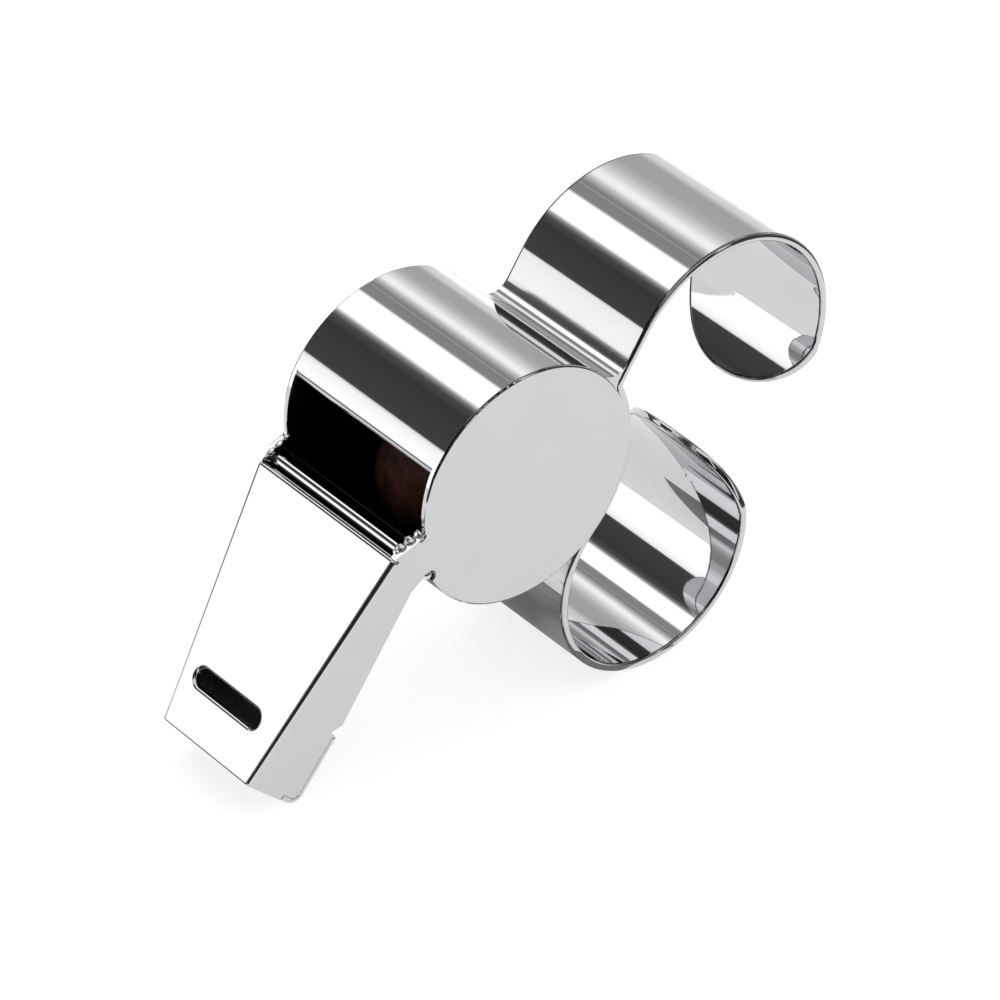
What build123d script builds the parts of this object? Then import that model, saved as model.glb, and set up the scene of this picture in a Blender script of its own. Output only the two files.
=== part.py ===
from build123d import *
import os
from math import acos, asin, atan2, cos, degrees, hypot, radians, sin, sqrt

# A finger-grip whistle with a loose cork pea. Every profile is drawn in the whistle's own side view:
# u runs from the barrel's axis towards the back, v towards the window, and the view's normal points
# out of the right cheek. The finished whistle stands on its bite lip and its front finger ring, +Z up.

# Barrel and cheeks, lengths in millimetres and angles in degrees
barrel_radius = 10.0
body_width = 17.0
sheet = 0.5
lip_angle = 96.3
bend_setback = 4.0
bend_radius = 12.0
rim_round = 0.18
lip_bevel = 0.85
lip_edge = 0.08

# Mouthpiece, measured from the barrel's front and crown
top_drop = 0.7
window_setback = 2.0
mouth_reach = 18.7
tip_width = 10.6
tip_lean = 1.05
tip_height = 6.3
fold_round = 0.46
tip_round = 0.16
rear_round = 0.32

# Neck between disc and mouthpiece
neck_height = 3.65
neck_length = 0.1
neck_nib = 0.25
neck_dip = 0.5
neck_dip_angle = 126.0
neck_dip_round = 0.4
neck_slope = 0.35
relief_radius = 0.55
relief_turn = 3.0

# Underside of the mouthpiece, and the notch in front of the bite plate
floor_drop = 5.54
floor_setback = 1.0
floor_bend = 3.0
notch_width = 1.15
notch_chamfer = 0.75
notch_rise = 0.65

# Bite plate
bite_length = 6.4
bite_rear_rise = 0.5
bite_lip_rise = 2.1
bite_round = 0.9
seam_bevel = 0.1

# Air duct
duct_gap = 0.26
duct_nose = 0.85
duct_bend = 0.55
nose_lean = 0.38
nose_depth = 0.94
nose_gap = 0.15

# Bite slot
slot_length = 7.6
slot_width = 1.5
slot_from_tip = 4.4
slot_aside = 0.4
slot_round = 0.35

# Finger grip: one strip with a ring in front and one behind
strip_thickness = 0.65
strip_width = 14.4
strip_inset = 0.5
strip_end_swell = 0.4
rear_ring_radius = 10.2
rear_ring_angle = -47.9
rear_ring_start = 90.0
rear_ring_sweep = 198.7
rear_root_round = 1.25
front_ring_radius = 9.37
front_ring_angle = -101.4
front_ring_sweep = 266.4

# Solder: the film under the saddle with its hollow seam behind the barrel, the spots at the neck and
# the beads in the reliefs
solder_film = 0.12
film_inset = 0.1
seam_hollow = 1.5
neck_bead_radius = 0.42
neck_bead_gap = 0.03
neck_bead_place_shares = (0.06, 0.42, 0.76)
neck_bead_size_shares = (1.0, 0.92, 0.96)
relief_bead_radius = 0.42
relief_bead_depth = 0.47

# Pea
pea_radius = 5.2
pea_clearance = 0.35
pea_aside = 1.0

# One overrun for every cut, and one reach that clears the whole side view
overrun = 1.0
reach = 2 * (barrel_radius + mouth_reach)

# Heights and stations of the side view
top_v = barrel_radius - top_drop
under_top_v = top_v - sheet
neck_v = top_v - neck_height
tip_v = top_v - tip_height
bite_rear_v = tip_v + bite_rear_rise
lip_top_v = tip_v + bite_lip_rise
floor_end_v = top_v - floor_drop
top_start_u = window_setback - barrel_radius
neck_u = -barrel_radius - neck_length
tip_u = -barrel_radius - mouth_reach
front_u = tip_u - tip_lean
bend_u = bend_setback - barrel_radius
bite_rear_u = front_u + bite_length
notch_u = bite_rear_u + notch_width


def polar(radius, angle):
    """A point of the side view at a radius and an angle about the barrel's axis."""
    return (radius * cos(radians(angle)), radius * sin(radians(angle)))


def front_at(v):
    """Where the slanting front of the mouthpiece stands at a height v."""
    return tip_u - tip_lean * (top_v - v) / tip_height


def half_width(u):
    """Half the mouthpiece's width at a station u, which tapers from the bend to the tip."""
    taper = (body_width - tip_width) / 2 / (bend_u - tip_u)
    return body_width / 2 - taper * max(bend_u - u, 0)


def cheek_face(u, v):
    """How far a cheek's outer face stands from the middle: flat on the disc, then falling away."""
    beyond_disc = max(hypot(u, v) - barrel_radius, 0)
    return max(body_width / 2 - neck_slope * beyond_disc, half_width(u))


# The bite lip's rounded corner, and the two finger rings, which touch the saddle on the barrel
to_rear = Vector(bite_length, bite_rear_rise).normalized()
to_top = Vector(tip_lean, tip_height).normalized()
corner_half = radians(to_rear.get_angle(to_top)) / 2
corner_offset = (to_rear + to_top).normalized() * (bite_round / sin(corner_half))
bite_centre = Vector(front_u, tip_v) + corner_offset
saddle_radius = barrel_radius + solder_film
rear_centre = Vector(*polar(saddle_radius + rear_ring_radius, rear_ring_angle))
front_centre = Vector(*polar(saddle_radius + front_ring_radius, front_ring_angle))

# The whistle stands on the common tangent of the lip's corner and the front ring
stance = front_centre - bite_centre
stance_turn = acos((front_ring_radius - bite_round) / hypot(stance.X, stance.Y))
stand_angle = stance_turn + atan2(stance.Y, stance.X)
up_u = cos(stand_angle)
up_v = sin(stand_angle)


def standing_x(u, v):
    """How far a point of the side view lies to the right of the barrel's axis as the whistle stands."""
    return u * up_v - v * up_u


def standing_z(u, v):
    """How far a point of the side view lies above the barrel's axis as the whistle stands."""
    return u * up_u + v * up_v


# The origin lies on the floor, under the middle of the standing whistle
left_x = standing_x(tip_u, top_v)
right_x = standing_x(rear_centre.X, rear_centre.Y) + rear_ring_radius
axis_height = front_ring_radius - standing_z(front_centre.X, front_centre.Y)
axis_point = Vector(-(left_x + right_x) / 2, 0, axis_height)
u_direction = Vector(up_v, 0, up_u)
v_direction = Vector(-up_u, 0, up_v)
v_axis = Axis(axis_point, v_direction)
side_plane = Plane(axis_point, x_dir=u_direction, z_dir=(0, -1, 0))
plan_plane = Plane(axis_point, x_dir=u_direction, z_dir=v_direction)


def body_plan(inset):
    """Plan of the body between its two sides, both taken in by an inset."""
    end_u = front_u - overrun
    back_u = barrel_radius + overrun
    side = (
        (back_u, half_width(back_u) - inset),
        (bend_u, half_width(bend_u) - inset),
        (end_u, half_width(end_u) - inset),
    )
    other_side = [(u, -half) for u, half in reversed(side)]
    with BuildSketch(plan_plane) as plan:
        with BuildLine():
            Polyline(*side, *other_side, close=True)
        make_face()
        bends = plan.vertices().group_by(Axis.X)[1]
        fillet(bends, radius=bend_radius - inset)
    return plan.sketch


def body_volume(inset):
    """The tapering mouthpiece joined to the flat barrel, whose sides slope away beyond the discs."""
    half_barrel = body_width / 2 - inset
    with BuildPart() as volume:
        extrude(body_plan(inset), amount=reach, both=True)
        with BuildSketch(plan_plane):
            with BuildLine():
                Polyline(
                    (0, half_barrel),
                    (barrel_radius, half_barrel),
                    (barrel_radius + half_barrel / neck_slope, 0),
                    (barrel_radius, -half_barrel),
                    (0, -half_barrel),
                    close=True,
                )
            make_face()
        revolve(axis=Axis(axis_point, (0, 1, 0)))
    return volume.part


# The body's envelope, and the room between the cheeks
envelope = body_volume(0)
inner_room = body_volume(sheet)

# Bite blank: the underside of the tip, turned up in front as the lip that the teeth hold
with BuildPart() as bite_blank:
    with BuildSketch(side_plane):
        with BuildLine():
            FilletPolyline(
                (bite_rear_u, bite_rear_v),
                (front_u, tip_v),
                (front_at(lip_top_v), lip_top_v),
                radius=bite_round,
            )
            offset(amount=sheet, side=Side.RIGHT)
        make_face()
    extrude(amount=body_width, both=True)
    add(envelope, mode=Mode.INTERSECT)

# Cheek outline: the disc, the neck with its relief, and one side of the mouthpiece
neck_angle = 180 - degrees(asin(neck_v / barrel_radius))
lip_point = polar(barrel_radius, lip_angle)
dip_point = polar(barrel_radius - neck_dip, neck_dip_angle)
edge_point = polar(barrel_radius - neck_dip / 2, (neck_dip_angle + lip_angle) / 2)
nib_point = (top_start_u + neck_nib, top_v)
neck_corner = polar(barrel_radius, neck_angle)
relief_point = polar(barrel_radius, neck_angle + relief_turn)
with BuildSketch(side_plane) as cheek_outline:
    with BuildLine():
        CenterArc((0, 0), barrel_radius, lip_angle, neck_angle - lip_angle - 360)
        Polyline(
            neck_corner,
            (neck_u, neck_v),
            (notch_u, floor_end_v),
            (notch_u - notch_chamfer, floor_end_v + notch_rise),
            (bite_rear_u, bite_rear_v),
            (front_u, tip_v),
            (front_at(under_top_v), under_top_v),
            (top_start_u, under_top_v),
            (top_start_u, top_v),
            nib_point,
            dip_point,
        )
        ThreePointArc(dip_point, edge_point, lip_point)
    make_face()
    dip_vertex = cheek_outline.vertices().sort_by_distance(dip_point)[0]
    fillet(dip_vertex, radius=neck_dip_round)
    lip_vertex = cheek_outline.vertices().sort_by_distance((front_u, tip_v))[0]
    fillet(lip_vertex, radius=bite_round)
    with Locations(relief_point):
        Circle(relief_radius, mode=Mode.SUBTRACT)

# Cheeks: flat discs whose mouthpiece sides bend in towards the tip
with BuildPart() as right_cheek:
    extrude(cheek_outline.sketch, amount=body_width / 2)
    add(envelope, mode=Mode.INTERSECT)
    add(inner_room, mode=Mode.SUBTRACT)
    add(bite_blank.part, mode=Mode.SUBTRACT)
    rim = right_cheek.faces().sort_by(Axis.Y)[0].edges().sort_by(SortBy.LENGTH)[-1]
    fillet(rim, radius=rim_round)
right_cheek.part.label = "right_cheek"

with BuildPart() as left_cheek:
    mirror(right_cheek.part, about=Plane.XZ)
left_cheek.part.label = "left_cheek"

# Bite plate: the blank with its two side faces bevelled, which leaves a fine seam beside the cheeks
with BuildPart() as bite_plate:
    add(bite_blank.part)
    for side in (0, -1):
        side_face = bite_plate.faces().sort_by(Axis.Y)[side]
        chamfer(side_face.edges(), length=seam_bevel)
bite_plate.part.label = "bite_plate"

# Duct plate: the floor of the air way, whose nose turns down to the barrel at the window
nose_u = top_start_u + duct_nose
nose_v = under_top_v - duct_gap
nose_end_u = nose_u + nose_lean
nose_end_v = nose_v - nose_depth
with BuildPart() as duct_plate:
    with BuildSketch(side_plane):
        with BuildLine():
            FilletPolyline(
                (front_at(lip_top_v), lip_top_v),
                (nose_u, nose_v),
                (nose_end_u, nose_end_v),
                radius=duct_bend,
            )
            offset(amount=sheet, side=Side.RIGHT)
        make_face()
    extrude(amount=body_width, both=True)
    add(inner_room, mode=Mode.INTERSECT)
    add(bite_blank.part, mode=Mode.SUBTRACT)
duct_plate.part.label = "duct_plate"

# Barrel band: from the lip, which is rounded off to a thin edge, over the back to the duct plate's nose
nose_angle = degrees(atan2(nose_end_v, nose_end_u))
band_end_angle = nose_angle + degrees((sheet + nose_gap) / barrel_radius)
bevel_angle = lip_angle - degrees(lip_bevel / barrel_radius)
lip_tip = polar(barrel_radius - sheet + lip_edge, lip_angle)
with BuildPart() as barrel_band:
    with BuildSketch(side_plane):
        with BuildLine():
            CenterArc((0, 0), barrel_radius, bevel_angle, band_end_angle - bevel_angle - 360)
            CenterArc((0, 0), barrel_radius - sheet, lip_angle, band_end_angle - lip_angle - 360)
            TangentArc(polar(barrel_radius, bevel_angle), lip_tip, tangent=polar(1, bevel_angle + 90))
            Line(lip_tip, polar(barrel_radius - sheet, lip_angle))
            Line(polar(barrel_radius, band_end_angle), polar(barrel_radius - sheet, band_end_angle))
        make_face()
    extrude(amount=body_width, both=True)
    add(inner_room, mode=Mode.INTERSECT)
barrel_band.part.label = "barrel_band"

# Mouthpiece floor: the underside from the neck to the notch, flush with the sides' lower edges
with BuildPart() as mouthpiece_floor:
    with BuildSketch(side_plane):
        with BuildLine():
            FilletPolyline(
                (floor_setback - barrel_radius, neck_v),
                (neck_u, neck_v),
                (notch_u, floor_end_v),
                radius=floor_bend,
            )
            offset(amount=sheet, side=Side.RIGHT)
        make_face()
    extrude(amount=body_width, both=True)
    add(inner_room, mode=Mode.INTERSECT)
mouthpiece_floor.part.label = "mouthpiece_floor"

# Mouthpiece top: a tapering plate with rolled long edges and the bite slot
with BuildPart() as mouthpiece_top:
    with BuildSketch(side_plane):
        with BuildLine():
            Polyline(
                (top_start_u, top_v),
                (tip_u, top_v),
                (front_at(under_top_v), under_top_v),
                (top_start_u, under_top_v),
                close=True,
            )
        make_face()
    extrude(amount=body_width, both=True)
    add(envelope, mode=Mode.INTERSECT)
    long_edges = mouthpiece_top.edges().group_by(v_axis)[-1].sort_by(SortBy.LENGTH)[-2:]
    fillet(long_edges, radius=fold_round)
    tip_middle = side_plane.from_local_coords(Vector(tip_u, top_v))
    fillet(mouthpiece_top.edges().sort_by_distance(tip_middle)[0], radius=tip_round)
    rear_middle = side_plane.from_local_coords(Vector(top_start_u, top_v))
    fillet(mouthpiece_top.edges().sort_by_distance(rear_middle)[0], radius=rear_round)
    with BuildSketch(plan_plane.offset(top_v)):
        with Locations((tip_u + slot_from_tip, slot_aside)):
            SlotOverall(slot_length, slot_width, rotation=90)
    extrude(amount=-sheet - overrun, mode=Mode.SUBTRACT)
    top_face = mouthpiece_top.faces().sort_by(v_axis)[-1]
    fillet(top_face.inner_wires()[0].edges(), radius=slot_round)
mouthpiece_top.part.label = "mouthpiece_top"

# Finger grip: saddle under the barrel, front ring and rear ring, bent from one strip
rear_end = rear_ring_start - rear_ring_sweep
front_start = front_ring_angle + 180
front_end = front_start + front_ring_sweep
strip_face_w = body_width / 2 - strip_inset
strip_end_radius = strip_width / 2 + strip_end_swell


def ring_point(centre, radius, angle):
    """A point of a finger ring in the side view."""
    return centre + Vector(*polar(radius, angle))


def strip_end_plane(centre, radius, angle, turn):
    """A plane on a ring's free end, its x pointing back along the strip and its y across it."""
    point = ring_point(centre, radius, angle)
    origin = side_plane.from_local_coords(Vector(point.X, point.Y, strip_face_w - strip_width / 2))
    outward_u, outward_v = polar(1, angle)
    outward = u_direction * outward_u + v_direction * outward_v
    along = (v_direction * outward_u - u_direction * outward_v) * turn
    return Plane(origin, x_dir=along, z_dir=outward)


# The rear ring runs straight on to the barrel and joins the saddle with a tight bend
flat_normal = Vector(*polar(1, rear_ring_start))
flat_along = Vector(-flat_normal.Y, flat_normal.X)


def beside_barrel(rise, orbit):
    """A centre at a rise over the straight run's outer face and on an orbit round the barrel's axis."""
    base = rear_centre + flat_normal * (rear_ring_radius + rise)
    run = base.dot(flat_along)
    return base - flat_along * (run + sqrt(run**2 - base.dot(base) + orbit**2))


root_centre = beside_barrel(-rear_root_round, saddle_radius + rear_root_round)
root_angle = degrees(atan2(root_centre.Y, root_centre.X))
root_sweep = rear_ring_start - root_angle - 180
saddle_sweep = root_angle - front_ring_angle

with BuildPart() as finger_grip:
    with BuildSketch(side_plane.offset(strip_face_w)):
        with BuildLine():
            for shift in (0, strip_thickness):
                CenterArc(front_centre, front_ring_radius - shift, front_start, front_ring_sweep)
                CenterArc((0, 0), saddle_radius + shift, front_ring_angle, saddle_sweep)
                CenterArc(root_centre, rear_root_round - shift, root_angle + 180, root_sweep)
                Line(
                    ring_point(root_centre, rear_root_round - shift, rear_ring_start),
                    ring_point(rear_centre, rear_ring_radius - shift, rear_ring_start),
                )
                CenterArc(rear_centre, rear_ring_radius - shift, rear_ring_start, -rear_ring_sweep)
            Line(
                ring_point(front_centre, front_ring_radius, front_end),
                ring_point(front_centre, front_ring_radius - strip_thickness, front_end),
            )
            Line(
                ring_point(rear_centre, rear_ring_radius, rear_end),
                ring_point(rear_centre, rear_ring_radius - strip_thickness, rear_end),
            )
        make_face()
    extrude(amount=-strip_width)
    strip_ends = (
        (strip_end_plane(front_centre, front_ring_radius, front_end, -1), front_ring_radius),
        (strip_end_plane(rear_centre, rear_ring_radius, rear_end, 1), rear_ring_radius),
    )
    for strip_end, ring_radius in strip_ends:
        with BuildSketch(strip_end.offset(overrun)):
            with Locations((-overrun, 0)):
                Rectangle(
                    overrun + strip_end_radius,
                    strip_width + 2 * overrun,
                    align=(Align.MIN, Align.CENTER),
                )
            with Locations((strip_end_radius, 0)):
                Circle(strip_end_radius, mode=Mode.SUBTRACT)
        extrude(amount=-overrun - ring_radius, mode=Mode.SUBTRACT)
finger_grip.part.label = "finger_grip"

# Grip solder: the film that holds the saddle to the barrel, with a hollow seam in the valley behind it
seam_centre = beside_barrel(seam_hollow, barrel_radius + seam_hollow)
seam_angle = degrees(atan2(seam_centre.Y, seam_centre.X))
with BuildPart() as grip_solder:
    with BuildSketch(side_plane.offset(strip_face_w - film_inset)):
        with BuildLine():
            CenterArc((0, 0), barrel_radius, front_ring_angle, seam_angle - front_ring_angle)
            CenterArc(seam_centre, seam_hollow, seam_angle + 180, rear_ring_start - seam_angle)
            Line(
                ring_point(seam_centre, seam_hollow, rear_ring_start + 180),
                ring_point(root_centre, rear_root_round, rear_ring_start),
            )
            CenterArc(root_centre, rear_root_round, root_angle + 180, root_sweep)
            CenterArc((0, 0), saddle_radius, front_ring_angle, saddle_sweep)
            Line(polar(barrel_radius, front_ring_angle), polar(saddle_radius, front_ring_angle))
        make_face()
    extrude(amount=2 * film_inset - strip_width)
grip_solder.part.label = "grip_solder"


def on_both_sides(point, depth):
    """A point of the side view on both cheeks, a depth in from their outer faces."""
    u, v = point
    w = cheek_face(u, v) - depth
    return [side_plane.from_local_coords(Vector(u, v, side)) for side in (w, -w)]


# Neck solder: spots inside both cheeks, from the dip of the window up to the top plate
with BuildPart() as neck_solder:
    for place_share, size_share in zip(neck_bead_place_shares, neck_bead_size_shares):
        bead_u = dip_point[0] + (nib_point[0] - dip_point[0]) * place_share
        bead_v = dip_point[1] + (nib_point[1] - dip_point[1]) * place_share
        bead_radius = neck_bead_radius * size_share
        with Locations(*on_both_sides((bead_u, bead_v), sheet + neck_bead_gap + bead_radius)):
            Sphere(bead_radius)
    for neighbour in (mouthpiece_top, duct_plate):
        add(neighbour.part, mode=Mode.SUBTRACT)
neck_solder.part.label = "neck_solder"

# Relief solder: a bead in the small relief under each neck, seated on the barrel band
with BuildPart() as relief_solder:
    with Locations(*on_both_sides(relief_point, relief_bead_depth)):
        Sphere(relief_bead_radius)
    for neighbour in (right_cheek, left_cheek, barrel_band):
        add(neighbour.part, mode=Mode.SUBTRACT)
relief_solder.part.label = "relief_solder"

# Pea: a cork ball that lies at the chamber's lowest point
pea_orbit = barrel_radius - sheet - pea_clearance - pea_radius
with BuildPart(Plane(axis_point + Vector(0, pea_aside, -pea_orbit))) as pea:
    Sphere(pea_radius)
pea.part.label = "pea"

os.makedirs("parts", exist_ok=True)
pieces = (
    right_cheek,
    left_cheek,
    barrel_band,
    mouthpiece_top,
    mouthpiece_floor,
    duct_plate,
    bite_plate,
    finger_grip,
    grip_solder,
    neck_solder,
    relief_solder,
    pea,
)
for piece in pieces:
    export_step(piece.part, f"parts/{piece.part.label}.step")

# Places that the standing whistle's interfaces need
print("barrel axis", axis_point, "pea orbit", pea_orbit, "stands at", degrees(stand_angle))
for name, centre, radius in (
    ("rear ring", rear_centre, rear_ring_radius),
    ("front ring", front_centre, front_ring_radius),
):
    middle = side_plane.from_local_coords(Vector(centre.X, centre.Y, strip_face_w - strip_width / 2))
    print(name, middle, "bore radius", radius - strip_thickness)
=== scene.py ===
"""Looks of a polished finger-grip whistle on a pale studio floor."""

import logging
import math
from dataclasses import dataclass
from enum import Enum

import bmesh
import bpy
from mathutils import Matrix, Vector, noise


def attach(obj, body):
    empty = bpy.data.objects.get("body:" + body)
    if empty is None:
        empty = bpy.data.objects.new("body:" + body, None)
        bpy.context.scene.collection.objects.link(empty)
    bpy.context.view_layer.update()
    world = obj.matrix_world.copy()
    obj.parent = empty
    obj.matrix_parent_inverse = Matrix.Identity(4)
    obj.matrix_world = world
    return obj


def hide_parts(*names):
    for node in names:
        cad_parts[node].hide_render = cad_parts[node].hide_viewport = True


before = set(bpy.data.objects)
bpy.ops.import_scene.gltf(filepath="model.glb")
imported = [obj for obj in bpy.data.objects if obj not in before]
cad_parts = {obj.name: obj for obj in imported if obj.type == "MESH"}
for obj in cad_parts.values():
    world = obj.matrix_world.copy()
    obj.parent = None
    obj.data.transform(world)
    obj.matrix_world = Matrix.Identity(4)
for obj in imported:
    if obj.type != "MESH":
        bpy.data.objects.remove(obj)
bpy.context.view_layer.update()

LOG = logging.getLogger("whistle")
MM = 0.001

Color = tuple[float, float, float]
Point = tuple[float, float, float]
Span = tuple[float, float]
Card = tuple[Point, Point]
Socket = bpy.types.NodeSocket
Row = list[bmesh.types.BMVert]

# Sockets of Blender's Mix node when it mixes colours
MIX_SHARE, MIX_FIRST, MIX_SECOND, MIX_RESULT = 0, 6, 7, 2

# The layer of the strip's mesh that carries its painted dark reflection along the rounded edges
DARK_LINE_LAYER = "painted_dark_line"


@dataclass(frozen=True)
class SideView:
    """The whistle's own side view, u to the back and v to the window, as it stands on the floor."""

    axis_x: float = -3.47218
    axis_z: float = 22.9084
    stand: float = math.radians(32.59795)

    def point(self, u: float, v: float, y: float) -> Vector:
        """Turn a place of the side view into the row's frame.

        Args:
            u: millimetres from the barrel's axis towards the back.
            v: millimetres from the barrel's axis towards the window.
            y: millimetres along the axis.

        Returns:
            The place in metres.
        """
        x = self.axis_x + u * math.sin(self.stand) - v * math.cos(self.stand)
        z = self.axis_z + u * math.cos(self.stand) + v * math.sin(self.stand)
        return Vector((x, y, z)) * MM


SIDE = SideView()


def polar(radius: float, angle: float) -> Vector:
    """Give a point of the side view by its radius and its angle in degrees."""
    turn = math.radians(angle)
    return Vector((radius * math.cos(turn), radius * math.sin(turn)))


class Body(Enum):
    """The bodies that modelled pieces ride on."""

    WHISTLE = "whistle"


class Slot(Enum):
    """Names of the record's finishes; no piece in this script takes them."""

    GRIP = "grip_steel"
    SOLDER = "solder"


@dataclass(frozen=True)
class Grain:
    """One noise: its features for each metre, its octaves and how strong the small octaves are."""

    scale: float
    detail: float
    rough: float = 0.5


class NodeSheet:
    """Builds the node tree of one material."""

    def __init__(self, name: str) -> None:
        """Start an empty tree.

        Args:
            name: the material's name.
        """
        self.material = bpy.data.materials.new(name)
        self.material.use_nodes = True
        self.tree = self.material.node_tree
        self.tree.nodes.clear()

    def add(self, kind: str, **inputs: object) -> bpy.types.Node:
        """Add a node and set its sockets.

        Args:
            kind: Blender's name of the node type.
            inputs: values or sockets by input name, with _ for a space.

        Returns:
            The new node.
        """
        node = self.tree.nodes.new(kind)
        for key, value in inputs.items():
            self.feed(node, key.replace("_", " "), value)
        return node

    def feed(self, node: bpy.types.Node, key: str | int, value: object) -> None:
        """Set one socket to a value or link it.

        Args:
            node: the node that takes the value.
            key: the input's name or number.
            value: a plain value, or the output socket to link.
        """
        if isinstance(value, Socket):
            self.tree.links.new(value, node.inputs[key])
        else:
            node.inputs[key].default_value = value

    def math(self, operation: str, *values: object) -> Socket:
        """Add a Math node.

        Args:
            operation: Blender's name of the sum.
            values: numbers or sockets.

        Returns:
            The result's socket.
        """
        node = self.tree.nodes.new("ShaderNodeMath")
        node.operation = operation
        for number, value in enumerate(values):
            self.feed(node, number, value)
        return node.outputs[0]

    def noise(self, where: object, grain: Grain) -> Socket:
        """Add a noise texture.

        Args:
            where: the coordinate socket.
            grain: the noise's settings.

        Returns:
            The noise's value socket.
        """
        node = self.add(
            "ShaderNodeTexNoise",
            Vector=where,
            Scale=grain.scale,
            Detail=grain.detail,
            Roughness=grain.rough,
        )
        return node.outputs[0]

    def spread(self, value: object, source: Span, target: Span = (0.0, 1.0)) -> Socket:
        """Map a range of values onto another.

        Args:
            value: the socket to map.
            source: the range's start and end.
            target: the results there.

        Returns:
            The mapped socket.
        """
        node = self.add("ShaderNodeMapRange", Value=value)
        for side, limits in (("From", source), ("To", target)):
            for end, limit in zip(("Min", "Max"), limits):
                self.feed(node, f"{side} {end}", limit)
        return node.outputs[0]

    def mix(self, share: object, first: object, second: object) -> Socket:
        """Mix two colours.

        Args:
            share: how much of the second, a number or socket.
            first: a colour or socket.
            second: a colour or socket.

        Returns:
            The mixed colour's socket.
        """
        node = self.tree.nodes.new("ShaderNodeMix")
        node.data_type = "RGBA"
        self.feed(node, MIX_SHARE, share)
        for key, color in ((MIX_FIRST, first), (MIX_SECOND, second)):
            self.feed(node, key, (*color, 1.0) if isinstance(color, tuple) else color)
        return node.outputs[MIX_RESULT]

    def ramp(self, value: object, stops: list[Span]) -> Socket:
        """Add a grey ramp.

        Args:
            value: the socket that runs along the ramp.
            stops: places from 0 to 1 with their grey values.

        Returns:
            The ramp's colour socket.
        """
        node = self.add("ShaderNodeValToRGB")
        self.feed(node, 0, value)
        elements = node.color_ramp.elements
        while len(elements) < len(stops):
            elements.new(0.5)
        for element, (place, _) in zip(elements, stops):
            element.position = place
        for element, (_, grey) in zip(elements, stops):
            element.color = (grey, grey, grey, 1.0)
        return node.outputs[0]

    def bump(self, height: object, strength: float, distance: float) -> Socket:
        """Add a bump node.

        Args:
            height: the height socket.
            strength: the bump's share.
            distance: the height of the relief in metres.

        Returns:
            The bent normal's socket.
        """
        node = self.add("ShaderNodeBump", Height=height, Strength=strength, Distance=distance)
        return node.outputs[0]

    def around_barrel(self, where: object) -> tuple[Socket, Socket, Socket]:
        """Split a place into parts about the barrel's axis.

        Args:
            where: the coordinate socket.

        Returns:
            The sockets of the way across, the way along the axis and the way up.
        """
        parts = self.add("ShaderNodeSeparateXYZ", Vector=where)
        across = self.math("SUBTRACT", parts.outputs[0], SIDE.axis_x * MM)
        up = self.math("SUBTRACT", parts.outputs[2], SIDE.axis_z * MM)
        return across, parts.outputs[1], up

    def radius(self, where: object) -> Socket:
        """Measure the distance from the barrel's axis.

        Args:
            where: the coordinate socket.

        Returns:
            The distance's socket.
        """
        across, _, up = self.around_barrel(where)
        squares = [self.math("MULTIPLY", part, part) for part in (across, up)]
        return self.math("SQRT", self.math("ADD", *squares))

    def way(self, where: object, turn: float) -> Socket:
        """Measure how far a place lies from the barrel's axis along one way of the side view.

        Args:
            where: the coordinate socket.
            turn: the way's angle in degrees, from the way to the back to the way to the window.

        Returns:
            The distance's socket.
        """
        across, _, up = self.around_barrel(where)
        lean = SIDE.stand - math.radians(turn)
        return self.math(
            "ADD",
            self.math("MULTIPLY", across, math.sin(lean)),
            self.math("MULTIPLY", up, math.cos(lean)),
        )

    def between(self, value: object, low: float, high: float) -> Socket:
        """Mark the values between two limits.

        Args:
            value: the socket to look at.
            low: the lower limit.
            high: the upper limit.

        Returns:
            A socket that is 1 between the limits and 0 elsewhere.
        """
        above = self.math("GREATER_THAN", value, low)
        below = self.math("LESS_THAN", value, high)
        return self.math("MULTIPLY", above, below)

    def finish(self, shader: Socket) -> bpy.types.Material:
        """Send a shader to the output.

        Args:
            shader: the surface shader's socket.

        Returns:
            The finished material.
        """
        output = self.tree.nodes.new("ShaderNodeOutputMaterial")
        self.tree.links.new(shader, output.inputs["Surface"])
        return self.material


@dataclass(frozen=True)
class RimMark:
    """Painted dark reflection along the rounded rims of the discs, by the distances from the middle
    and from the axis.
    """

    near: float
    far: float
    inner: float
    outer: float

    def mask(self, sheet: NodeSheet, where: Socket) -> Socket:
        """Mark the line.

        Args:
            sheet: the material's tree.
            where: the coordinate socket.

        Returns:
            A socket that is 1 on the line and 0 beside it.
        """
        side = sheet.math("ABSOLUTE", sheet.around_barrel(where)[1])
        rim = sheet.between(sheet.radius(where), self.inner, self.outer)
        return sheet.math("MULTIPLY", sheet.between(side, self.near, self.far), rim)


@dataclass(frozen=True)
class LipMark:
    """Painted dark reflection along the barrel's lip, between two angles about the axis in degrees.
    """

    first: float
    last: float

    def mask(self, sheet: NodeSheet, where: Socket) -> Socket:
        """Mark the line.

        Args:
            sheet: the material's tree.
            where: the coordinate socket.

        Returns:
            A socket that is 1 on the line and 0 beside it.
        """
        across, _, up = sheet.around_barrel(where)
        turn = sheet.math("ARCTAN2", up, across)
        return sheet.between(turn, math.radians(self.first), math.radians(self.last))


@dataclass(frozen=True)
class SeamMark:
    """Painted shade in the seam over the bite plate, by the ways across its underside and along it.
    """

    slope: float
    low: float
    high: float
    start: float
    share: float

    def mask(self, sheet: NodeSheet, where: Socket) -> Socket:
        """Mark the line.

        Args:
            sheet: the material's tree.
            where: the coordinate socket.

        Returns:
            A socket that is the painted shade's share on the line and 0 beside it.
        """
        seam = sheet.between(sheet.way(where, self.slope + 90), self.low, self.high)
        behind = sheet.math("GREATER_THAN", sheet.way(where, self.slope), self.start)
        return sheet.math("MULTIPLY", sheet.math("MULTIPLY", seam, behind), self.share)


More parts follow.
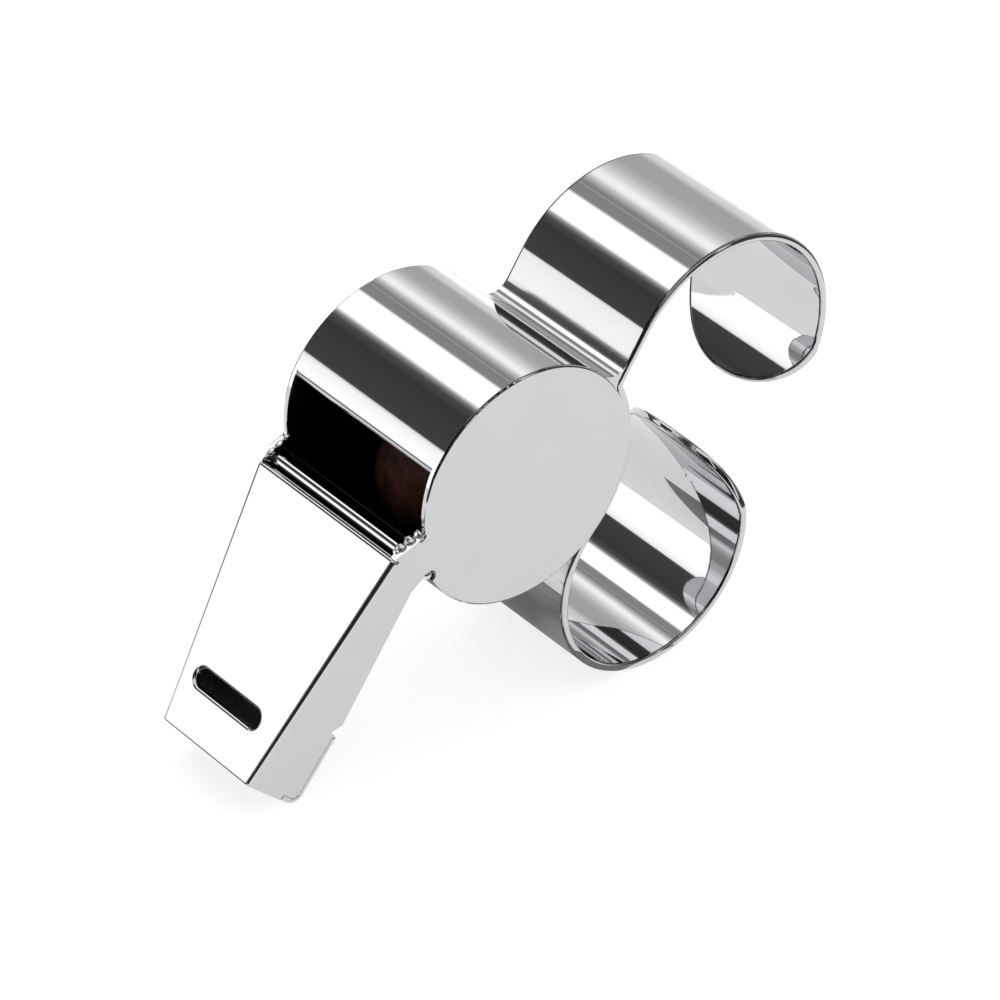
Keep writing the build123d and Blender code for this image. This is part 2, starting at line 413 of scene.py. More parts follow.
@dataclass(frozen=True)
class LayerMark:
    """Painted dark reflection that the mesh carries as a value of its points."""

    layer: str
    wear: Grain = Grain(900.0, 3.0)
    fade_span: Span = (0.3, 0.5)
    faded_share: Span = (0.6, 1.0)

    def mask(self, sheet: NodeSheet, where: Socket) -> Socket:
        """Mark the line, fainter here and there.

        Args:
            sheet: the material's tree.
            where: the coordinate socket.

        Returns:
            A socket that is up to 1 on the line and 0 beside it.
        """
        node = sheet.add("ShaderNodeAttribute")
        node.attribute_name = self.layer
        faded = sheet.spread(sheet.noise(where, self.wear), self.fade_span, self.faded_share)
        return sheet.math("MULTIPLY", node.outputs["Fac"], faded)


@dataclass(frozen=True)
class MirrorPlating:
    """Mirror-bright plating outside; dull unplated sheet inside the barrel, its colour painted near
    black as shade.
    """

    name: str
    bright: Color = (0.585, 0.59, 0.60)
    dim: Color = (0.553, 0.558, 0.57)
    smooth: float = 0.012
    hazy: float = 0.035
    bore_radius: float = 9.62 * MM
    bore_width: float = 8.06 * MM
    bore_shade_dark: Color = (0.02, 0.018, 0.016)
    bore_shade_light: Color = (0.05, 0.043, 0.038)
    bore_grain: Grain = Grain(700.0, 6.0)
    bore_rough: float = 0.4
    haze: Grain = Grain(240.0, 5.0)
    hairlines: Grain = Grain(2600.0, 3.0)
    haze_span: Span = (0.1, 0.45)
    relief: float = 0.03
    relief_depth: float = 0.01 * MM
    dull_and_shaded_before: float | None = None
    valley_haze: float = 0.0
    valley_near: Span = (11.1 * MM, 11.6 * MM)
    valley_far: Span = (11.9 * MM, 12.7 * MM)
    # Painted dark lines: dark reflections along rims, lip and strip edges, and shade in the seam
    # over the bite plate.
    mark: RimMark | LipMark | SeamMark | LayerMark | None = None
    painted_dark_line: Color = (0.05, 0.05, 0.053)

    def material(self) -> bpy.types.Material:
        """Build the material.

        Returns:
            Plating with polishing haze, hairlines and the dull bore with its painted shade.
        """
        sheet = NodeSheet(self.name)
        where = sheet.add("ShaderNodeTexCoord").outputs["Object"]
        haze = sheet.noise(where, self.haze)
        fine = sheet.noise(where, self.hairlines)
        tint = sheet.mix(haze, self.dim, self.bright)
        # The mark paints its dark line into the colour: painted dark reflection along edges,
        # painted shade in the seam.
        if self.mark is not None:
            tint = sheet.mix(self.mark.mask(sheet, where), tint, self.painted_dark_line)
        # Painted shade: inside the barrel and the air way the colour is painted near black.
        inside = self.inside(sheet, where)
        bore = sheet.mix(sheet.noise(where, self.bore_grain), self.bore_shade_dark, self.bore_shade_light)
        wear = sheet.math("MULTIPLY", haze, fine)
        rough = sheet.spread(wear, self.haze_span, (self.smooth, self.hazy))
        rough = sheet.math("ADD", rough, sheet.math("MULTIPLY", inside, self.bore_rough))
        if self.valley_haze > 0:
            valley = sheet.math("MULTIPLY", self.valley(sheet, where), self.valley_haze)
            rough = sheet.math("ADD", rough, valley)
        shader = sheet.add("ShaderNodeBsdfPrincipled", Metallic=1.0, Roughness=rough)
        sheet.feed(shader, "Base Color", sheet.mix(inside, tint, bore))
        sheet.feed(shader, "Normal", sheet.bump(fine, self.relief, self.relief_depth))
        return sheet.finish(shader.outputs[0])

    def valley(self, sheet: NodeSheet, where: Socket) -> Socket:
        """Mark the valley behind the barrel, where no polishing wheel reaches.

        Args:
            sheet: the material's tree.
            where: the coordinate socket.

        Returns:
            A socket that is 1 deep in the valley and 0 outside it.
        """
        radius = sheet.radius(where)
        far = sheet.spread(radius, self.valley_far, (1.0, 0.0))
        near = sheet.spread(radius, self.valley_near)
        return sheet.math("MULTIPLY", far, near)

    def inside(self, sheet: NodeSheet, where: Socket) -> Socket:
        """Mark the unplated inside of the barrel and of the air way, where shade is painted into
        the colour.

        Args:
            sheet: the material's tree.
            where: the coordinate socket.

        Returns:
            A socket that is 1 inside and 0 outside.
        """
        if self.dull_and_shaded_before is not None:
            return sheet.math("LESS_THAN", sheet.way(where, 0.0), self.dull_and_shaded_before)
        near = sheet.math("LESS_THAN", sheet.radius(where), self.bore_radius)
        side = sheet.math("ABSOLUTE", sheet.around_barrel(where)[1])
        return sheet.math("MULTIPLY", near, sheet.math("LESS_THAN", side, self.bore_width))


@dataclass(frozen=True)
class LumpySolder:
    """Bright soft solder with a frosty, lumpy skin."""

    name: str
    bright: Color = (0.82, 0.82, 0.83)
    grey: Color = (0.62, 0.62, 0.64)
    smooth: float = 0.06
    frosty: float = 0.2
    lumps: Grain = Grain(1800.0, 4.0)
    frost: Grain = Grain(9000.0, 2.0)
    frost_span: Span = (0.3, 0.7)
    relief: float = 0.1
    relief_depth: float = 0.06 * MM

    def material(self) -> bpy.types.Material:
        """Build the material.

        Returns:
            Solder with grain and lumps.
        """
        sheet = NodeSheet(self.name)
        where = sheet.add("ShaderNodeTexCoord").outputs["Object"]
        lumps = sheet.noise(where, self.lumps)
        frost = sheet.noise(where, self.frost)
        rough = sheet.spread(frost, self.frost_span, (self.smooth, self.frosty))
        shader = sheet.add("ShaderNodeBsdfPrincipled", Metallic=1.0)
        sheet.feed(shader, "Base Color", sheet.mix(lumps, self.grey, self.bright))
        sheet.feed(shader, "Roughness", rough)
        sheet.feed(shader, "Normal", sheet.bump(lumps, self.relief, self.relief_depth))
        return sheet.finish(shader.outputs[0])


@dataclass(frozen=True)
class CorkSkin:
    """Dyed cork with pores and dark flecks."""

    name: str
    warm: Color = (0.062, 0.019, 0.011)
    dark: Color = (0.022, 0.0075, 0.005)
    rough: float = 0.72
    shine: float = 0.15
    flecks: Grain = Grain(900.0, 6.0, 0.65)
    fleck_span: Span = (0.35, 0.62)
    cell_scale: float = 1500.0
    relief: float = 0.6
    relief_depth: float = 0.15 * MM

    def material(self) -> bpy.types.Material:
        """Build the material.

        Returns:
            Cork with flecks and pores.
        """
        sheet = NodeSheet(self.name)
        where = sheet.add("ShaderNodeTexCoord").outputs["Object"]
        cells = sheet.add("ShaderNodeTexVoronoi", Vector=where, Scale=self.cell_scale)
        pores = sheet.bump(cells.outputs["Distance"], self.relief, self.relief_depth)
        flecks = sheet.spread(sheet.noise(where, self.flecks), self.fleck_span)
        shader = sheet.add("ShaderNodeBsdfPrincipled", Roughness=self.rough)
        sheet.feed(shader, "Specular IOR Level", self.shine)
        sheet.feed(shader, "Base Color", sheet.mix(flecks, self.dark, self.warm))
        sheet.feed(shader, "Normal", pores)
        return sheet.finish(shader.outputs[0])


@dataclass(frozen=True)
class PaperFloor:
    """Matte white paper."""

    name: str
    white: Color = (0.36, 0.36, 0.36)
    shade: Color = (0.33, 0.33, 0.333)
    glow: float = 0.76
    rough: float = 0.9
    tooth: Grain = Grain(3000.0, 4.0)

    def material(self) -> bpy.types.Material:
        """Build the material.

        Returns:
            Paper with a faint tooth.
        """
        sheet = NodeSheet(self.name)
        where = sheet.add("ShaderNodeTexCoord").outputs["Object"]
        tooth = sheet.noise(where, self.tooth)
        shader = sheet.add("ShaderNodeBsdfPrincipled", Roughness=self.rough)
        sheet.feed(shader, "Specular IOR Level", 0.0)
        sheet.feed(shader, "Base Color", sheet.mix(tooth, self.shade, self.white))
        sheet.feed(shader, "Emission Color", (1.0, 1.0, 1.0, 1.0))
        sheet.feed(shader, "Emission Strength", self.glow)
        return sheet.finish(shader.outputs[0])


@dataclass(frozen=True)
class DarkCloth:
    """Dim cloth of the dark room, and of the painted shadows on the floor."""

    name: str
    low: Color = (0.012, 0.012, 0.013)
    high: Color = (0.15, 0.15, 0.155)
    clouds: Grain = Grain(6.0, 2.0)
    cloud_span: Span = (0.42, 0.72)

    def material(self) -> bpy.types.Material:
        """Build the material.

        Returns:
            A dim, slightly uneven tone.
        """
        sheet = NodeSheet(self.name)
        where = sheet.add("ShaderNodeTexCoord").outputs["Object"]
        clouds = sheet.spread(sheet.noise(where, self.clouds), self.cloud_span)
        color = sheet.mix(clouds, self.low, self.high)
        shader = sheet.add("ShaderNodeEmission", Color=color, Strength=1.0)
        return sheet.finish(shader.outputs[0])


@dataclass(frozen=True)
class TentCloth:
    """Glowing cloth of the light tent, in bands round its axis."""

    name: str
    axis_x: float
    axis_z: float
    strength: float
    bands: tuple[Span, ...]

    def material(self) -> bpy.types.Material:
        """Build the material.

        Returns:
            An emission that changes with the angle round the tent's axis.
        """
        sheet = NodeSheet(self.name)
        where = sheet.add("ShaderNodeTexCoord").outputs["Object"]
        parts = sheet.add("ShaderNodeSeparateXYZ", Vector=where)
        across = sheet.math("SUBTRACT", parts.outputs[0], self.axis_x)
        up = sheet.math("SUBTRACT", parts.outputs[2], self.axis_z)
        first, last = self.bands[0][0], self.bands[-1][0]
        low, high = math.radians(first), math.radians(last)
        turn = sheet.math("ARCTAN2", up, across)
        whole = sheet.math("MULTIPLY", sheet.math("LESS_THAN", turn, low), math.tau)
        place = sheet.spread(sheet.math("ADD", turn, whole), (low, high))
        stops = [((angle - first) / (last - first), glow) for angle, glow in self.bands]
        color = sheet.ramp(place, stops)
        shader = sheet.add("ShaderNodeEmission", Color=color, Strength=self.strength)
        return sheet.finish(shader.outputs[0])


Finish = MirrorPlating | LumpySolder | CorkSkin


def new_mesh(
    name: str, maker: bmesh.types.BMesh, material: bpy.types.Material
) -> bpy.types.Mesh:
    """Close a mesh in the making.

    Args:
        name: the mesh's name.
        maker: the mesh in the making.
        material: its finish.

    Returns:
        The finished mesh.
    """
    mesh = bpy.data.meshes.new(name)
    maker.to_mesh(mesh)
    maker.free()
    mesh.materials.append(material)
    return mesh


def new_piece(name: str, mesh: bpy.types.Mesh) -> bpy.types.Object:
    """Put a mesh into the scene.

    Args:
        name: the piece's name.
        mesh: its mesh.

    Returns:
        The new object.
    """
    piece = bpy.data.objects.new(name, mesh)
    bpy.context.scene.collection.objects.link(piece)
    return piece


@dataclass
class DressedNodes:
    """A sub-assembly of carried-over nodes that share one finish."""

    nodes: tuple[str, ...]
    finish: Finish

    def dress(self) -> None:
        """Give every node its finish."""
        material = self.finish.material()
        for name in self.nodes:
            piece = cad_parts[name]
            piece.data.materials.clear()
            piece.data.materials.append(material)
            LOG.info("dressed %s", name)


@dataclass
class Shell(DressedNodes):
    """The two cheeks."""

    nodes: tuple[str, ...] = ("right_cheek", "left_cheek")
    finish: Finish = MirrorPlating(
        "cheek_plating",
        # Painted dark reflection along the rims of the discs.
        mark=RimMark(near=8.33 * MM, far=8.415 * MM, inner=9.8 * MM, outer=10.02 * MM),
    )


@dataclass
class BarrelAndMouthpiece(DressedNodes):
    """The rolled band and the plates of the mouthpiece."""

    nodes: tuple[str, ...] = ("barrel_band", "mouthpiece_top", "mouthpiece_floor")
    # Painted dark reflection along the barrel's lip, and painted shade inside the barrel.
    finish: Finish = MirrorPlating("barrel_plating", mark=LipMark(first=150.7, last=151.3))


@dataclass
class BitePlate(DressedNodes):
    """The plate under the tip, with painted shade in a fine seam beside the cheeks."""

    nodes: tuple[str, ...] = ("bite_plate",)
    finish: Finish = MirrorPlating(
        "bite_plating",
        mark=SeamMark(slope=4.467, low=5.7 * MM, high=5.84 * MM, start=-28.2 * MM, share=0.5),
    )


@dataclass
class AirDuct(DressedNodes):
    """The plate under the air way, bright only at its nose: behind the nose, shade is painted into
    its colour.
    """

    nodes: tuple[str, ...] = ("duct_plate",)
    finish: Finish = MirrorPlating(
        "duct_plating",
        # Painted shade on the plate behind its nose, seen through the slot.
        bore_shade_dark=(0.06, 0.056, 0.052),
        bore_shade_light=(0.13, 0.12, 0.11),
        dull_and_shaded_before=-8.7 * MM,
    )


@dataclass
class PlatedSeam(DressedNodes):
    """The hollow seam of solder behind the barrel, plated over with the rest."""

    nodes: tuple[str, ...] = ("grip_solder",)
    finish: Finish = MirrorPlating("seam_plating", smooth=0.02, hazy=0.05, valley_haze=0.16)


@dataclass
class ReliefSolder(DressedNodes):
    """The beads in the reliefs under both necks."""

    nodes: tuple[str, ...] = ("relief_solder",)
    finish: Finish = LumpySolder("relief_solder_skin")


@dataclass
class Pea(DressedNodes):
    """The loose cork ball."""

    nodes: tuple[str, ...] = ("pea",)
    finish: Finish = CorkSkin("dyed_cork")


@dataclass(frozen=True)
class Ring:
    """One level of the strip's rounded edge: its ways in and below the skin, and its share of
    painted dark reflection.
    """

    inset: float
    depth: float
    painted_dark_line: float


@dataclass(frozen=True)
class Station:
    """One cross line of the strip at a level: its point in the side view and half its width."""

    spot: Vector
    half: float


@dataclass
class FingerGrip:
    """The strip with its two open rings, its edges rounded by tumbling. Lengths in millimetres."""

    node: str = "finger_grip"
    saddle_radius: float = 10.12
    thickness: float = 0.65
    width: float = 14.4
    middle_y: float = -0.8
    end_swell: float = 0.4
    rear_radius: float = 10.2
    rear_angle: float = -47.9
    rear_start: float = 90.0
    rear_sweep: float = 198.7
    root_round: float = 1.25
    front_radius: float = 9.37
    front_angle: float = -101.4
    front_sweep: float = 266.4
    edge_round: float = 0.21
    edge_steps: int = 5
    dark_line_width: float = 0.08
    dark_line_last: int = 3
    dark_line_fade: int = 2
    shading_weight: int = 60
    arc_step: float = 1.5
    end_steps: int = 28
    end_turn: float = 36.0
    # Painted dark reflection along the strip's rounded edges, from the mesh's layer.
    finish: Finish = MirrorPlating("grip_plating", valley_haze=0.16, mark=LayerMark(DARK_LINE_LAYER))

    def levels(self) -> list[Ring]:
        """Lay the levels of the rounded edge, from the skin to the lining.

        Returns:
            The levels in order.
        """
        # The first level marks where the painted dark reflection begins on the flat skin.
        upper = [Ring(self.edge_round + self.dark_line_width, 0.0, 0.0)]
        for step in range(self.edge_steps + 1):
            turn = math.pi / 2 * step / self.edge_steps
            inset = self.edge_round * (1 - math.sin(turn))
            depth = self.edge_round * (1 - math.cos(turn))
            # Painted dark reflection: full at the rounding's start, fading out within it.
            painted_dark_line = max(0.0, min(1.0, (self.dark_line_last - step) / self.dark_line_fade))
            upper.append(Ring(inset, depth, painted_dark_line))
        lower = [Ring(ring.inset, self.thickness - ring.depth, ring.painted_dark_line) for ring in upper]
        return upper + lower[::-1]

    def arc(
        self, ring: Ring, centre: Vector, radius: float, turns: Span, outward: int
    ) -> list[Station]:
        """Lay stations along an arc of full width.

        Args:
            ring: the level of the edge.
            centre: the arc's centre in the side view.
            radius: the radius of the strip's skin.
            turns: the first and last angle in degrees.
            outward: 1 where the skin faces away from the centre, -1 where it faces it.

        Returns:
            The stations, from the first angle to the last.
        """
        first, last = turns
        count = max(2, round(abs(last - first) / self.arc_step))
        half = self.width / 2 - ring.inset
        angles = [first + (last - first) * step / count for step in range(count + 1)]
        reach = radius - outward * ring.depth
        return [Station(centre + polar(reach, angle), half) for angle in angles]

    def free_end(
        self, ring: Ring, centre: Vector, radius: float, end: float, turn: int
    ) -> list[Station]:
        """Lay stations along a ring's round free end, from its tip.

        Args:
            ring: the level of the edge.
            centre: the finger ring's centre in the side view.
            radius: the finger ring's outer radius.
            end: the angle of the tip in degrees.
            turn: 1 where the strip runs on with growing angles, -1 where they fall.

        Returns:
            The stations, from the tip to the full width.
        """
        swell = self.width / 2 + self.end_swell
        bow = swell - ring.inset
        widest = math.asin((self.width / 2 - ring.inset) / bow)
        reach = radius - ring.depth
        stations = []
        for step in range(self.end_steps + 1):
            share = widest * step / self.end_steps
            back = swell - bow * math.cos(share)
            angle = end + turn * math.degrees(math.asin(back / reach))
            stations.append(Station(centre + polar(reach, angle), bow * math.sin(share)))
        return stations

    def stations(self, ring: Ring) -> list[Station]:
        """Lay one level of the whole strip, from the front ring's tip to the rear ring's.

        Args:
            ring: the level of the edge.

        Returns:
            The stations in order.
        """
        rear = polar(self.saddle_radius + self.rear_radius, self.rear_angle)
        front = polar(self.saddle_radius + self.front_radius, self.front_angle)
        normal = polar(1.0, self.rear_start)
        along = Vector((-normal.y, normal.x))
        base = rear + normal * (self.rear_radius - self.root_round)
        run = base.dot(along)
        orbit = self.saddle_radius + self.root_round
        root = base - along * (run + math.sqrt(run**2 - base.dot(base) + orbit**2))
        root_angle = math.degrees(math.atan2(root.y, root.x))
        front_start = self.front_angle + 180
        front_end = front_start + self.front_sweep
        rear_end = self.rear_start - self.rear_sweep
        front_turns = (front_end - self.end_turn, front_start)
        saddle_turns = (self.front_angle, root_angle)
        root_turns = (root_angle + 180, self.rear_start)
        rear_turns = (self.rear_start, rear_end + self.end_turn)
        axis = Vector((0.0, 0.0))
        strip = self.free_end(ring, front, self.front_radius, front_end, -1)
        strip += self.arc(ring, front, self.front_radius, front_turns, 1)
        strip += self.arc(ring, axis, self.saddle_radius, saddle_turns, -1)[1:]
        strip += self.arc(ring, root, self.root_round, root_turns, 1)[1:]
        strip += self.arc(ring, rear, self.rear_radius, rear_turns, 1)
        strip += reversed(self.free_end(ring, rear, self.rear_radius, rear_end, 1))
        return strip

    def build(self) -> None:
        """Bend the strip with its rounded edges and put it in the node's place."""
        maker = bmesh.new()
        layer = maker.verts.layers.float.new(DARK_LINE_LAYER)
        sides = []
        for ring in self.levels():
            strip = self.stations(ring)
            sides.append([self.side(maker, strip, 1), self.side(maker, strip, -1)])
            for spot in sides[-1][0] + sides[-1][1]:
                spot[layer] = ring.painted_dark_line
            for end in (0, -1):
                maker.verts.remove(sides[-1][1][end])
                sides[-1][1][end] = sides[-1][0][end]
        for upper, lower in zip(sides, sides[1:]):
            self.join(maker, upper[0], lower[0])
            self.join(maker, lower[1], upper[1])
        self.join(maker, sides[0][1], sides[0][0])
        self.join(maker, sides[-1][0], sides[-1][1])
        bmesh.ops.recalc_face_normals(maker, faces=maker.faces)
        for face in maker.faces:
            face.smooth = True
        mesh = new_mesh("grip_strip", maker, self.finish.material())
        strip_piece = new_piece("grip_strip", mesh)
        even = strip_piece.modifiers.new("even_shading", "WEIGHTED_NORMAL")
        even.weight = self.shading_weight
        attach(strip_piece, Body.WHISTLE.value)
        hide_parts(self.node)
        LOG.info("built %s", strip_piece.name)

    def side(self, maker: bmesh.types.BMesh, strip: list[Station], hand: int) -> Row:
        """Put in the points of one edge of one level.

        Args:
            maker: the mesh in the making.
            strip: the level's stations.
            hand: 1 for the left edge, -1 for the right one.

        Returns:
            The points from tip to tip.
        """
        row = []
        for cross in strip:
            y = self.middle_y + hand * cross.half
            row.append(maker.verts.new(SIDE.point(cross.spot.x, cross.spot.y, y)))
        return row

    @staticmethod
    def join(maker: bmesh.types.BMesh, first: Row, second: Row) -> None:
        """Close the strip between two rows of points.

        Args:
            maker: the mesh in the making.
            first: one row, from tip to tip.
            second: the other row.
        """
        for step in range(len(first) - 1):
            corners = dict.fromkeys((first[step], first[step + 1], second[step + 1], second[step]))
            if len(corners) > 2:
                maker.faces.new(list(corners))


@dataclass(frozen=True)
class Lump:
    """One drop of solder on the cheek: its place, its sizes and its height, in millimetres."""

    u: float
    v: float
    along: float
    across: float
    height: float
    cheek_y: float


@dataclass
class NeckSolder:
    """The run drops of solder inside both cheeks beside the window."""

    node: str = "neck_solder"
    lumps: tuple[Lump, ...] = (
        Lump(-5.70, 7.78, 0.36, 0.42, 0.34, 8.00),
        Lump(-6.36, 8.26, 0.46, 0.50, 0.30, 7.95),
        Lump(-7.08, 8.78, 0.44, 0.46, 0.34, 7.88),
        Lump(-7.48, 8.98, 0.30, 0.34, 0.26, 7.83),
    )
    slope: float = 143.3
    ripple: float = 0.12
    ripple_size: float = 0.9
    grain: float = 0.045
    far_share: float = 0.5
    sink: float = 0.4
    ripple_shift: float = 3.0
    fineness: int = 4
    smoothing: int = 6
    finish: Finish = LumpySolder("bright_solder", smooth=0.2, frosty=0.36)

    def build(self) -> None:
        """Let the drops run together and put them in the node's place."""
        maker = bmesh.new()
        for hand in (1, -1):
            for lump in self.lumps:
                self.drop(maker, lump, hand)
        mesh = new_mesh("neck_seam", maker, self.finish.material())
        seam = new_piece("neck_seam", mesh)
        melt = seam.modifiers.new("melt", "REMESH")
        melt.mode = "VOXEL"
        melt.voxel_size = self.grain * MM
        melt.use_smooth_shade = True
        even = seam.modifiers.new("even", "SMOOTH")
        even.iterations = self.smoothing
        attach(seam, Body.WHISTLE.value)
        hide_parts(self.node)
        LOG.info("built %s", seam.name)

    def drop(self, maker: bmesh.types.BMesh, lump: Lump, hand: int) -> None:
        """Put in one rippled drop.

        Args:
            maker: the mesh in the making.
            lump: the drop.
            hand: 1 for the left cheek, -1 for the right one.
        """
        ball = bmesh.ops.create_icosphere(maker, subdivisions=self.fineness, radius=1.0)
        share = self.far_share if hand > 0 else 1.0
        across = lump.across * share
        along = polar(lump.along, self.slope)
        rise = polar(lump.height * share, self.slope - 90)
        middle_y = hand * (lump.cheek_y - self.sink * across)
        for vertex in ball["verts"]:
            spot = vertex.co.copy()
            shift = Vector((lump.u, lump.v, hand)) * self.ripple_shift
            spot *= 1 + self.ripple * noise.noise(spot / self.ripple_size + shift)
            place = along * spot.x + rise * spot.z
            y = middle_y + across * spot.y
            vertex.co = SIDE.point(lump.u + place.x, lump.v + place.y, y)


@dataclass(frozen=True)
class Gap:
    """A gap of light in the curtains: its angles in degrees and its heights in millimetres."""

    first: float
    last: float
    bottom: float
    top: float


@dataclass
class Studio:
    """Pale floor, soft surroundings and the light tent behind the whistle."""

    floor_size: float = 3.0
    floor_cells: int = 8
    tent_radius: float = 90.0 * MM
    tent_x: float = -15.0 * MM
    tent_z: float = 12.0 * MM
    tent_near: float = 18.0 * MM
    tent_far: float = 102.0 * MM
    tent_steps: int = 120
    room_radius: float = 550.0 * MM
    room_heights: tuple[float, ...] = (1.0, 90.0, 200.0, 300.0, 600.0)
    room_steps: int = 120
    room_first: float = 154.0
    room_last: float = 345.0
    gaps: tuple[Gap, ...] = (
        Gap(177.6, 179.8, 90.0, 200.0),
        Gap(230.0, 234.0, 300.0, 600.0),
        Gap(262.0, 269.0, 1.0, 600.0),
        Gap(298.0, 305.0, 1.0, 600.0),
    )
    paper_front: float = 78.0 * MM
    cards: tuple[Card, ...] = (
        # Painted shadow on the floor under the mouthpiece's tip, seen only in mirrors; the cards
        # after it are dark walls.
        ((-60.0, -4.6, 0.6), (-24.0, 14.0, 0.6)),
        ((-92.0, 102.0, 0.0), (-20.0, 102.0, 60.0)),
        ((-20.0, 102.0, 45.0), (20.0, 102.0, 110.0)),
        ((20.0, 102.0, 38.0), (100.0, 102.0, 110.0)),
    )
    # Painted shadow on the floor under the front ring and the barrel, seen only in mirrors.
    shades: tuple[Card, ...] = (
        ((-13.0, -1.0, 0.6), (9.0, 11.0, 0.6)),
        ((-3.0, -12.0, 0.6), (13.0, -1.0, 0.6)),
    )
    shade_low: Color = (0.2, 0.2, 0.205)
    shade_high: Color = (0.36, 0.36, 0.365)
    shade_grain: Grain = Grain(90.0, 2.0)
    surroundings: float = 1.05
    bands: tuple[Span, ...] = (
        (-8, 0.97), (0, 0.97), (6, 0.80), (12, 0.56), (18, 0.53), (21, 0.42),
        (24, 0.32), (36, 0.34), (42, 0.43), (48, 0.64), (52, 0.84), (55, 0.82),
        (58, 0.50), (60.5, 0.33), (63, 0.20), (64.6, 0.20), (65.2, 0.36), (65.8, 0.20),
        (73.6, 0.22), (75.2, 0.97), (95, 1.0), (96.2, 0.55), (98, 0.22), (101, 0.065),
        (108, 0.035), (134, 0.045), (139.2, 0.05), (140.2, 0.68), (142.6, 0.86), (147, 0.91),
        (151, 0.97), (188, 1.0),
    )
    cloth_strength: float = 1.8

    def build(self) -> None:
        """Build the floor, the tent and the surroundings."""
        self.lay_floor()
        self.hang_tent()
        self.darken_room()
        self.shade_floor()
        self.set_surroundings()

    def lay_floor(self) -> None:
        """Lay the paper floor."""
        maker = bmesh.new()
        cells, half = self.floor_cells, self.floor_size / 2
        bmesh.ops.create_grid(maker, x_segments=cells, y_segments=cells, size=half)
        mesh = new_mesh("floor", maker, PaperFloor("white_paper").material())
        new_piece("floor", mesh)

    def hang_tent(self) -> None:
        """Hang the glowing half tube that the bright metal mirrors."""
        first, last = self.bands[0][0], self.bands[-1][0]
        maker = bmesh.new()
        rows = []
        for step in range(self.tent_steps + 1):
            turn = math.radians(first + (last - first) * step / self.tent_steps)
            x = self.tent_x + self.tent_radius * math.cos(turn)
            z = self.tent_z + self.tent_radius * math.sin(turn)
            rows.append([maker.verts.new((x, y, z)) for y in (self.tent_near, self.tent_far)])
        for before, after in zip(rows, rows[1:]):
            maker.faces.new((before[0], before[1], after[1], after[0]))
        cloth = TentCloth("tent_cloth", self.tent_x, self.tent_z, self.cloth_strength, self.bands)
        mesh = new_mesh("light_tent", maker, cloth.material())
        self.show_in_mirrors(new_piece("light_tent", mesh))

    def darken_room(self) -> None:
        """Hang the dark curtains on the camera's side, with gaps of light, and put up the cards:
        dark walls and a painted shadow under the tip.
        """
        maker = bmesh.new()
        rows = []
        spread = self.room_last - self.room_first
        steps = self.room_steps
        turns = [self.room_first + spread * step / steps for step in range(steps + 1)]
        for turn in map(math.radians, turns):
            way = Vector((math.cos(turn), math.sin(turn), 0.0))
            lifts = [Vector((0.0, 0.0, height * MM)) for height in self.room_heights]
            row = [way * self.paper_front + lifts[0]]
            row += [way * self.room_radius + lift for lift in lifts]
            rows.append([maker.verts.new(spot) for spot in row])
        for turn, before, after in zip(turns, rows, rows[1:]):
            for low in range(len(self.room_heights)):
                if low == 0 or not self.is_open(turn, self.room_heights[low - 1]):
                    high = low + 1
                    maker.faces.new((before[low], after[low], after[high], before[high]))
        self.lay_cards(maker, self.cards)
        mesh = new_mesh("dark_room", maker, DarkCloth("black_cloth").material())
        self.show_in_mirrors(new_piece("dark_room", mesh))

    def is_open(self, turn: float, height: float) -> bool:
        """Tell whether light comes through the curtains at a place.

        Args:
            turn: the angle in degrees.
            height: the height in millimetres.

        Returns:
            True where a gap lies there.
        """
        for gap in self.gaps:
            if gap.first <= turn <= gap.last and gap.bottom <= height < gap.top:
                return True
        return False

    def shade_floor(self) -> None:
        """Lay the soft shade that the whistle's own underside mirrors."""
        maker = bmesh.new()
        self.lay_cards(maker, self.shades)
        cloth = DarkCloth("floor_shade_cloth", self.shade_low, self.shade_high, self.shade_grain)
        mesh = new_mesh("floor_shade", maker, cloth.material())
        self.show_in_mirrors(new_piece("floor_shade", mesh))

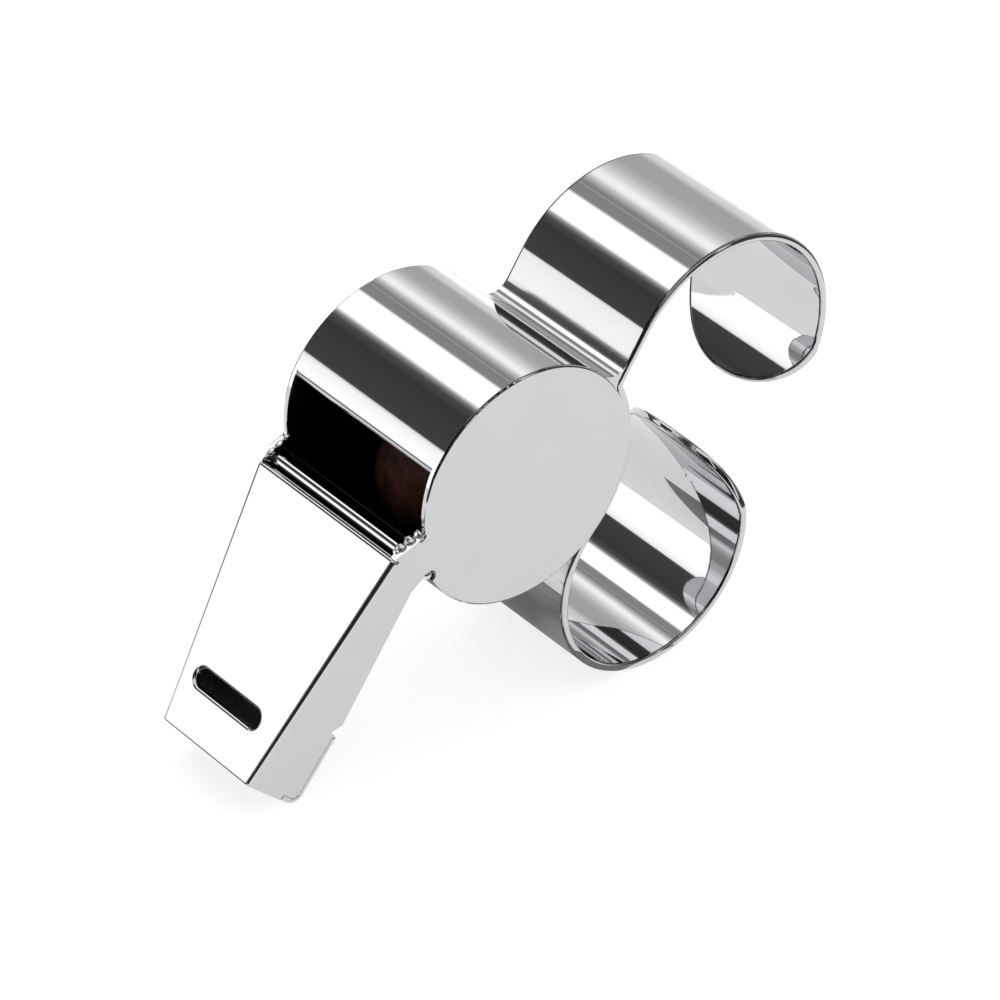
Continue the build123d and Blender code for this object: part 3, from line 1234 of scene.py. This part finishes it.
    @staticmethod
    def lay_cards(maker: bmesh.types.BMesh, cards: tuple[Card, ...]) -> None:
        """Add flat cards to a mesh.

        Args:
            maker: the mesh being made.
            cards: two corners of each card in millimetres: left, near, low; right, far, high.
        """
        for (left, near, low), (right, far, high) in cards:
            corners = (left, near, low), (right, near, low), (right, far, high), (left, far, high)
            maker.faces.new([maker.verts.new(Vector(corner) * MM) for corner in corners])

    @staticmethod
    def show_in_mirrors(card: bpy.types.Object) -> None:
        """Let a studio card show only in reflections.

        Args:
            card: the card's object.
        """
        card.visible_camera = False
        card.visible_diffuse = False
        card.visible_shadow = False

    def set_surroundings(self) -> None:
        """Fill the room with even soft light."""
        world = bpy.data.worlds.new("soft_room")
        world.use_nodes = True
        backdrop = world.node_tree.nodes["Background"]
        backdrop.inputs["Color"].default_value = (1.0, 1.0, 1.0, 1.0)
        backdrop.inputs["Strength"].default_value = self.surroundings
        scene = bpy.context.scene
        scene.world = world
        scene.view_settings.view_transform = "Standard"


@dataclass
class PhotoCamera:
    """The camera at the photograph's place."""

    place: Point = (-237.483 * MM, -275.307 * MM, 271.483 * MM)
    right: Point = (0.77026041, -0.63683308, 0.0338012)
    down: Point = (-0.34579756, -0.46160719, -0.81691055)
    ahead: Point = (0.53583854, 0.61754549, -0.57577307)
    lens: float = 210.817
    sensor: float = 36.0
    nearest: float = 5 * MM

    def build(self) -> None:
        """Set up the camera and make it the scene's."""
        data = bpy.data.cameras.new("photo_camera")
        data.lens = self.lens
        data.sensor_width = self.sensor
        data.clip_start = self.nearest
        camera = bpy.data.objects.new("photo_camera", data)
        bpy.context.scene.collection.objects.link(camera)
        turn = Matrix((self.right, -Vector(self.down), -Vector(self.ahead))).transposed()
        camera.matrix_world = Matrix.Translation(self.place) @ turn.to_4x4()
        bpy.context.scene.camera = camera


def main() -> None:
    """Build the studio, dress the whistle and set the camera."""
    logging.basicConfig(level=logging.INFO)
    Studio().build()
    sheets = (Shell(), BarrelAndMouthpiece(), BitePlate(), AirDuct())
    fittings = (PlatedSeam(), ReliefSolder(), Pea())
    for assembly in sheets + fittings:
        assembly.dress()
    for modelled in (FingerGrip(), NeckSolder()):
        modelled.build()
    PhotoCamera().build()


if __name__ == "__main__":
    main()
